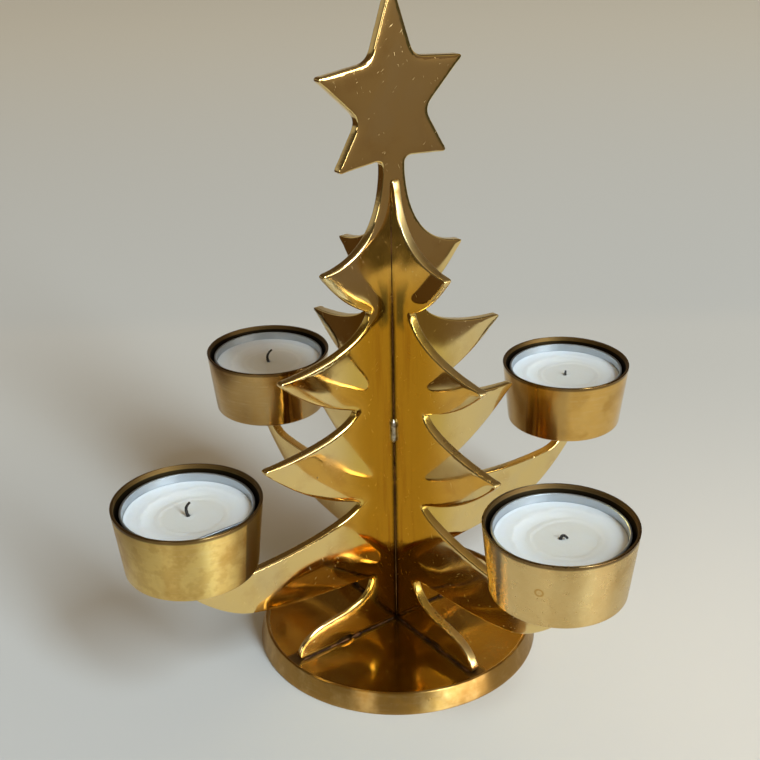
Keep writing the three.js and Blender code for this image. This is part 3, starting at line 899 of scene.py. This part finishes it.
can = {
    "height": 18.0,
    "rimRadius": 19.4,
    "topRadius": 18.9,
    "bottomRadius": 17.8,
    "sheet": 0.3,
    "bead": 0.42,
}
dent = {"place": "front_left", "depth": 2.0, "from": 10.0, "to": 16.0, "softInside": (12.5, 16.0)}


def pressDent(mesh, place):  # the can is pushed in flat on one side, and the wax with it
    if place != dent["place"]:
        return
    low, high = dent["from"], dent["to"]
    inner, outer = dent["softInside"]
    for vertex in mesh.vertices:
        x, y, z = vertex.co / mm
        out = math.hypot(x, y)
        press = min(max((z - low) / (high - low), 0), 1)
        press *= min(max((out - inner) / (outer - inner), 0), 1)
        flat = -(out - dent["depth"] * press * press * (3 - 2 * press))
        if y < flat:
            vertex.co.y = flat * mm


def makeCan(place, finish, stand):
    bead, top, sheet = can["bead"], can["height"], can["sheet"]
    beadOut = can["rimRadius"] - bead
    curl = [
        (beadOut + bead * math.cos(a), top - bead + bead * math.sin(a))
        for a in np.radians(np.linspace(-80, 150, 9))
    ]
    profile = easeCorners([(0, 0), (can["bottomRadius"], 0, 0.6), (can["topRadius"], top - 2 * bead)])
    profile += curl
    profile += easeCorners([
        (can["topRadius"] - sheet, top - 2 * bead),
        (can["bottomRadius"] - sheet, sheet, 0.5),
        (0, sheet),
    ])
    name = "foil_can_" + place
    mesh = turnedMesh(name, profile, 96, finish)
    pressDent(mesh, place)
    movedTo(mesh, place, stand)
    makePiece(name, mesh, finish, "tealight_" + place, "foil", "tealight_can_" + place)


wax = {
    "edge": 15.2,
    "drop": 0.6,
    "poolRadius": 10.2,
    "poolSlope": 2.6,
    "bore": 0.8,
    "boreFrom": 5.0,
    "bottom": 1.0,
    "tabRoom": (6.6, 4.4),  # hollow round the wick's tab: radius, top
}


def makeWaxPiece(place, finish, stand):
    top = wax["edge"]
    wall = can["bottomRadius"] - can["sheet"] - 0.1
    taper = (can["topRadius"] - can["bottomRadius"]) / can["height"]
    profile = easeCorners([
        (wax["bore"], wax["boreFrom"]),
        wax["tabRoom"],
        (wax["tabRoom"][0], wax["bottom"]),
        (wall, wax["bottom"], 0.8),
        (wall + taper * top, top + 0.25),
        (wall + taper * top - 0.7, top, 0.4),
        (wax["poolRadius"] + wax["poolSlope"], top - 0.06, 0.8),
        (wax["poolRadius"], top - wax["drop"], 1.6),
        (2.0, top - wax["drop"] - 0.05, 0.5),
        (wax["bore"], top - wax["drop"] + 0.15),
        (wax["bore"], wax["boreFrom"]),
    ], 6)
    name = "cast_wax_" + place
    mesh = turnedMesh(name, profile, 96, finish)
    pressDent(mesh, place)
    movedTo(mesh, place, stand)
    makePiece(name, mesh, finish, "tealight_" + place, "wax", "tealight_wax_" + place)


wicks = {  # the bend of each wick: points out along its arm, across it and up from the wax
    "front_left": [(0, 0, 0), (0.3, -0.2, 1.1), (0.4, -0.25, 2.4), (0.0, 0.1, 3.7), (-0.6, 0.6, 4.5)],
    "front_right": [(0, 0, 0), (0.4, 0.1, 1.2), (1.2, 0.5, 1.6), (2.2, 0.7, 0.9)],
    "back_right": [(0, 0, 0), (0.05, 0, 0.8), (0.15, 0, 1.6)],
    "back_left": [(0, 0, 0), (0.25, 0.35, 1.3), (0.15, 0.2, 2.8), (-0.35, -0.5, 4.1), (-0.8, -1.1, 4.7)],
}
cotton = {
    "foot": 1.05,  # above the can's underside
    "radius": 0.54,
    "tipThinner": 0.20,
    "thinFrom": 26,  # of the steps
    "steps": 40,
    "sides": 10,
    "smoothing": 2,
    "seed": 3,
}


def makeWick(place, finish, stand):
    surface = wax["edge"] - wax["drop"]
    stem = [(0, 0, cotton["foot"] - surface), (0, 0, -4.0), (0, 0, -0.5)]
    knots = np.array(stem + wicks[place], float) + [0, 0, surface]
    along = np.concatenate([[0], np.cumsum(np.linalg.norm(np.diff(knots, axis=0), axis=1))])
    stops = np.linspace(0, along[-1], cotton["steps"])
    path = np.stack([np.interp(stops, along, knots[:, k]) for k in range(3)], 1)
    for _ in range(cotton["smoothing"]):
        path[1:-1] = (path[:-2] + 2 * path[1:-1] + path[2:]) / 4
    random = np.random.default_rng(cotton["seed"])
    thinFrom = cotton["thinFrom"]
    points, sides = [], cotton["sides"]
    for index, centre in enumerate(path):
        ahead = path[min(index + 1, len(path) - 1)] - path[max(index - 1, 0)]
        ahead /= np.linalg.norm(ahead)
        across = np.cross(ahead, [0, 1, 0])
        across /= np.linalg.norm(across)
        lift = np.cross(ahead, across)
        thinned = max(0, index - thinFrom) / (cotton["steps"] - 1 - thinFrom)
        taper = cotton["radius"] - cotton["tipThinner"] * thinned
        for k in range(sides):
            angle = 2 * math.pi * k / sides + index * 0.25
            radius = taper * (1 + 0.12 * math.cos(3 * angle)) * random.uniform(0.94, 1.06)
            points.append(centre + (across * math.cos(angle) + lift * math.sin(angle)) * radius)
    faces = []
    for i in range(len(path) - 1):
        low, high = i * sides, (i + 1) * sides
        for k in range(sides):
            beside = (k + 1) % sides
            faces.append((low + k, low + beside, high + beside, high + k))
    last = (len(path) - 1) * sides
    faces += [tuple(range(sides)), tuple(last + k for k in range(sides))]
    turn = math.radians(arms[place])
    spun = [(x * math.cos(turn) - y * math.sin(turn), x * math.sin(turn) + y * math.cos(turn), z)
            for x, y, z in points]
    name = "burnt_wick_" + place
    mesh = movedTo(meshFrom(name, np.array(spun) * mm, faces), place, stand)
    makePiece(name, mesh, finish, "tealight_" + place, "wick", "tealight_wick_" + place)


# Solder and flux, run along paths by one Geometry Nodes tree


def makeBeadTree():
    group = bpy.data.node_groups.new("solder_bead", "GeometryNodeTree")
    sockets = {}
    for label, kind in [
        ("Path", "NodeSocketGeometry"),
        ("Step", "NodeSocketFloat"),
        ("Radius", "NodeSocketFloat"),
        ("Unevenness", "NodeSocketFloat"),
        ("Seed", "NodeSocketFloat"),
        ("Finish", "NodeSocketMaterial"),
    ]:
        sockets[label] = group.interface.new_socket(label, in_out="INPUT", socket_type=kind).identifier
    group.interface.new_socket("Geometry", in_out="OUTPUT", socket_type="NodeSocketGeometry")
    g = Graph(group)
    given = group.nodes.new("NodeGroupInput")
    wires = {label: Wire(g, given.outputs[label]) for label in sockets}
    path = g.add("GeometryNodeMeshToCurve", {}, {"Mesh": wires["Path"]})
    steps = {"Curve": path, "Length": wires["Step"]}
    path = g.add("GeometryNodeResampleCurve", {"mode": "LENGTH"}, steps)
    spot = g.add("GeometryNodeInputPosition")
    settings = {"noise_dimensions": "4D"}
    inputs = {"Vector": spot, "W": wires["Seed"], "Scale": 420.0, "Detail": 2.0}
    lump = g.add("ShaderNodeTexNoise", settings, inputs)
    along = g.add("GeometryNodeSplineParameter", output="Factor")
    ends = along.ramp(0.0, 0.06) * (1 - along.ramp(0.94, 1.0))
    girth = (1 + (lump - 0.5) * wires["Unevenness"] * 4) * (ends * 0.7 + 0.3)
    ring = g.add("GeometryNodeCurvePrimitiveCircle", {}, {"Resolution": 8, "Radius": wires["Radius"]})
    swept = g.add("GeometryNodeCurveToMesh", {}, {
        "Curve": path, "Profile Curve": ring, "Scale": girth, "Fill Caps": True})
    real = g.add("GeometryNodeRealizeInstances", {}, {"Geometry": swept})
    dressed = g.add("GeometryNodeSetMaterial", {}, {"Geometry": real, "Material": wires["Finish"]})
    g.add("NodeGroupOutput", {}, {"Geometry": dressed})
    return group, sockets


solder = {
    "seam": {"out": 1.60, "from": 5.6, "to": 149.0, "radius": 0.15, "uneven": 0.50},
    "joint": {"out": 2.0, "from": 72.5, "to": 80.5, "radius": 0.75, "uneven": 0.35},
    "foot": {"out": 1.68, "level": 5.34, "radius": 0.27, "uneven": 0.50,
             "runs": [(3.0, 16.0), (16.5, 20.5), (21.5, 39.4)]},
    "lump": {"out": 1.85, "level": 5.50, "radius": 0.48, "uneven": 0.5, "runs": [(16.4, 19.6)]},
}


def makeSolderBeads(tin, flux):
    beadTree, sockets = makeBeadTree()
    quarters = [Matrix.Rotation(math.radians(turn), 3, "Z") for turn in (0, 90, 180, 270)]

    def bead(name, lines, look, finish, slot):
        points, edges = [], []
        for line in lines:
            edges += [(len(points) + i, len(points) + i + 1) for i in range(len(line) - 1)]
            points += [tuple(Vector(p) * mm) for p in line]
        values = {"Step": 0.0007, "Radius": look["radius"] * mm, "Unevenness": look["uneven"],
                  "Seed": 2.0, "Finish": finish}
        mesh = grownMesh(name, points, edges, beadTree, sockets, values)
        makePiece(name, mesh, finish, "holder", slot)

    for name, finish in (("seam", flux), ("joint", tin)):
        look = solder[name]
        lines = []
        for quarter in quarters:
            low = quarter @ Vector((-look["out"], -look["out"], look["from"]))
            high = quarter @ Vector((-look["out"], -look["out"], look["to"]))
            lines.append([low, high])
        bead(name + "_solder", lines, look, finish, "solder")
    for name in ("foot", "lump"):
        look, lines = solder[name], []
        for quarter in quarters:
            for side in (-1, 1):
                for start, end in look["runs"]:
                    ends = [(r, side * look["out"], look["level"]) for r in (start, end)]
                    lines.append([quarter @ Vector(p) for p in ends])
        bead(name + "_flux", lines, look, flux, "solder")


# Floor, room and light

studio = {
    "size": 6.0,
    "leftFloor": (0.535, 0.535, 0.53, 1),  # as the camera sees it
    # rightFloor is lighter than leftFloor: a painted pool of light from the right. farFloor and
    # farBackdrop are lighter further off: painted light that makes up for the lamps' fall-off
    "rightFloor": (0.71, 0.67, 0.62, 1),
    "farFloor": (0.558, 0.54, 0.51, 1),
    "backdrop": (0.529, 0.52, 0.50, 1),
    "farBackdrop": (0.61, 0.565, 0.485, 1),
    "leftToRight": (-0.06, 0.13),
    "nearToFar": (-0.05, 0.22),
    "horizon": (0.245, 0.285),
    "upBackdrop": (0.3, 1.2),
    "tableTop": (0.60, 0.59, 0.55, 1),  # as the brass sees it
    "tableEdge": -0.2175,
    "tableSlope": 0.27,
    "edgeHalf": 0.006,
    "beyond": (0.17, 0.125, 0.09, 1),
    "viewer": (0.072, 0.068, 0.052, 1),
    "paleWorld": (0.50, 0.49, 0.45, 1),
    "ambient": (0.35, 0.265, 0.16, 1),
    "leftDark": (0.09, 0.05, 0.02, 1),
    "leftEdge": (0.165, 0.185),
    "rightDark": (0.055, 0.05, 0.03, 1),
    "viewerToRight": (-0.02, 0.10),
    "rightEdge": (0.03, 0.12),
    "rightWall": (0.36, 0.31, 0.20, 1),
    "farAway": (1.3, 2.3),  # here the floor turns into the room's pale colour
    "underWindows": (0.35, 1.0),  # and sooner on the windows' side
    "ceiling": (0.34, 0.30, 0.24, 1),
    "shelf": (0.08, 0.052, 0.025, 1),  # dark upper part of the room behind
    "wall": (0.42, 0.40, 0.35, 1),
    "roomTurn": (-0.35, 0.15),  # from the part behind to the part in front
    "frontTurn": (-0.1, 0.5),
    "rightTurn": (0.70, 0.84),
    "rightFrom": (0.10, 0.24),
    "wallTop": (0.30, 0.42),
    "shelfTop": (0.75, 0.95),
    "frontTop": (0.6, 0.9),
}


def makeFloor():
    back, right, _ = directions(view["turn"], 0)
    size = studio["size"]
    corners = [(-size, -size, 0), (size, -size, 0), (size, size, 0), (-size, size, 0)]
    mesh = bpy.data.meshes.new("table")
    mesh.from_pydata(corners, [], [(0, 1, 2, 3)])
    floor = bpy.data.objects.new("table", mesh)
    scene.collection.objects.link(floor)
    material, g = newMaterial("paper")
    x, y, z = g.split(g.place())
    deep = (x * back.x + y * back.y) * -1
    across = x * right.x + y * right.y
    # painted light: the floor is drawn lighter to the right and further off
    near = g.mix(across.ramp(*studio["leftToRight"]), studio["leftFloor"], studio["rightFloor"])
    near = g.mix(deep.ramp(*studio["nearToFar"]), near, studio["farFloor"])
    backdrop = g.mix(deep.ramp(*studio["upBackdrop"]), studio["backdrop"], studio["farBackdrop"])
    pale = g.mix(deep.ramp(*studio["horizon"]), near, backdrop)
    edge = y - x * studio["tableSlope"] - studio["tableEdge"]
    outside = g.mix(across.ramp(*studio["viewerToRight"]), studio["viewer"], studio["beyond"])
    outside = g.mix((x + y).ramp(*studio["rightEdge"]), outside, studio["rightDark"])
    lit = g.mix((across * -1).ramp(*studio["leftEdge"]), studio["tableTop"], studio["leftDark"])
    seenByBrass = g.mix(edge.ramp(-studio["edgeHalf"], studio["edgeHalf"]), outside, lit)
    glossy = g.add("ShaderNodeLightPath", output="Is Glossy Ray")
    away = ((x * x + y * y) ** 0.5).ramp(*studio["farAway"])
    away = (1 - (1 - away) * (1 - (y * -1).ramp(*studio["underWindows"]))) * (1 - glossy)
    g.surface({
        "Base Color": g.mix(away, g.mix(glossy, pale, seenByBrass), (0, 0, 0, 1)),
        "Emission Color": g.mix(away, (0, 0, 0, 1), studio["paleWorld"]),
        "Emission Strength": 1.0,
        "Roughness": 0.9,
        "Specular IOR Level": 0.0,
    })
    mesh.materials.append(material)


lights = {
    "window": {"turn": 0, "tilt": 36, "distance": 4.4, "size": (0.9, 3.0), "power": 250,
               "colour": (0.74, 0.90, 1.0)},
    "lowWindow": {"turn": 17, "tilt": 8, "distance": 4.4, "size": (2.4, 1.0), "power": 100,
                  "colour": (1.0, 0.95, 0.86)},
    "behind": {"turn": -62, "tilt": 14, "distance": 4.4, "size": (1.0, 1.0), "power": 14,
               "colour": (1.0, 0.93, 0.82)},
}


def makeLights():
    for name, light in lights.items():
        back, right, up = directions(light["turn"], light["tilt"])
        data = bpy.data.lights.new(name, "AREA")
        data.shape = "RECTANGLE"
        data.size, data.size_y = light["size"]
        data.energy = light["power"]
        data.color = light["colour"]
        lamp = bpy.data.objects.new(name, data)
        lamp.visible_camera = False
        scene.collection.objects.link(lamp)
        lamp.location = Vector((0, 0, 0.08)) + back * light["distance"]
        lamp.rotation_mode = "QUATERNION"
        lamp.rotation_quaternion = back.to_track_quat("Z", "Y")


def makeWorld():
    world = bpy.data.worlds.new("room")
    world.use_nodes = True
    g = Graph(world.node_tree)
    x, y, z = g.split(g.add("ShaderNodeTexCoord", output="Generated"))
    back, right, _ = directions(view["turn"], 0)
    toward = x * back.x + y * back.y
    across = x * right.x + y * right.y
    front = g.mix(across.ramp(*studio["frontTurn"]), studio["viewer"], studio["beyond"])
    rightPart = across.ramp(*studio["rightTurn"]) * z.ramp(*studio["rightFrom"])
    front = g.mix(rightPart, front, studio["rightWall"])
    front = g.mix(z.ramp(*studio["frontTop"]), front, studio["ceiling"])
    upper = g.mix(z.ramp(*studio["shelfTop"]), studio["shelf"], studio["ceiling"])
    behind = g.mix(z.ramp(*studio["wallTop"]), studio["wall"], upper)
    sides = g.mix(toward.ramp(*studio["roomTurn"]), behind, front)
    glossy = g.add("ShaderNodeLightPath", output="Is Glossy Ray")
    camera = g.add("ShaderNodeLightPath", output="Is Camera Ray")
    colour = g.mix(camera, g.mix(glossy, studio["ambient"], sides), studio["paleWorld"])
    shader = g.add("ShaderNodeBackground", {}, {"Color": colour, "Strength": 1.0})
    g.add("ShaderNodeOutputWorld", {}, {"Surface": shader})
    scene.world = world


# Putting it together

makeCamera()
makeFloor()
makeLights()
makeWorld()
print("camera and studio ready")

makePlates()
print("plates polished")

makeDish(makeBrass("dish_brass", dishLook), makeBrass("rim_brass", rimLook, (0, 0, 0.01)))
foilFinish, cottonFinish, solderFinish = makeFoil(), makeCotton(), makeSolder()
tealightStand = boxOf("tealight_can_front_left")[0][2]
for place in arms:
    middle = tuple((np.array(cupBoxes[place][0]) + np.array(cupBoxes[place][1])) / 2 * mm)
    makeCup(place, makeBrass("cup_brass_" + place, {**cupLook, **cupLooks[place]}, middle))
    makeCan(place, foilFinish, tealightStand)
    makeWaxPiece(place, makeWax(middle), tealightStand)
    makeWick(place, cottonFinish, tealightStand)
    for node, finish in (("cup_solder_", solderFinish), ("wick_tab_", foilFinish)):
        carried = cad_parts[node + place]
        carried.data.materials.clear()
        carried.data.materials.append(finish)
print("cups and tealights turned")

makeSolderBeads(solderFinish, makeFlux())
print("solder run along the joints")
